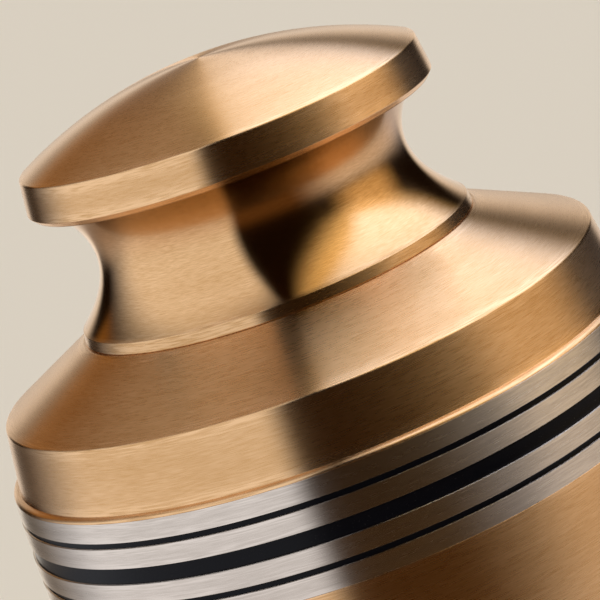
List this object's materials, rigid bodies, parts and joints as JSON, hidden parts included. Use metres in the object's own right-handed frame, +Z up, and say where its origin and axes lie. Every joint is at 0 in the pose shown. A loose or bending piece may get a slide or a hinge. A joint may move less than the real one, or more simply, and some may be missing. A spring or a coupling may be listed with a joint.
{
  "type": "cremation urn",
  "caption": "Tapering brass cremation urn on a flared foot, with a sloping shoulder, a grooved nickel band and a mushroom lid that lifts off.",
  "frame": {"origin": "centre of the foot's flat underside, on the urn's axis", "axes": "+Z up along the axis of revolution, towards the lid; X and Y are any two directions across it"},
  "size_m": [0.1674, 0.1674, 0.2672],
  "materials": {
    "brushed_brass": "satin, brushed round the axis",
    "brushed_nickel": "satin nickel, brushed round the axis",
    "black_enamel": "gloss black enamel"
  },
  "bodies": {
    "root": {"lid": "brushed_brass", "vessel": "brushed_brass", "nickel_band": "brushed_nickel", "enamel_line_upper": "black_enamel", "enamel_line_middle": "black_enamel", "enamel_line_lower": "black_enamel"}
  },
  "joints": []
}
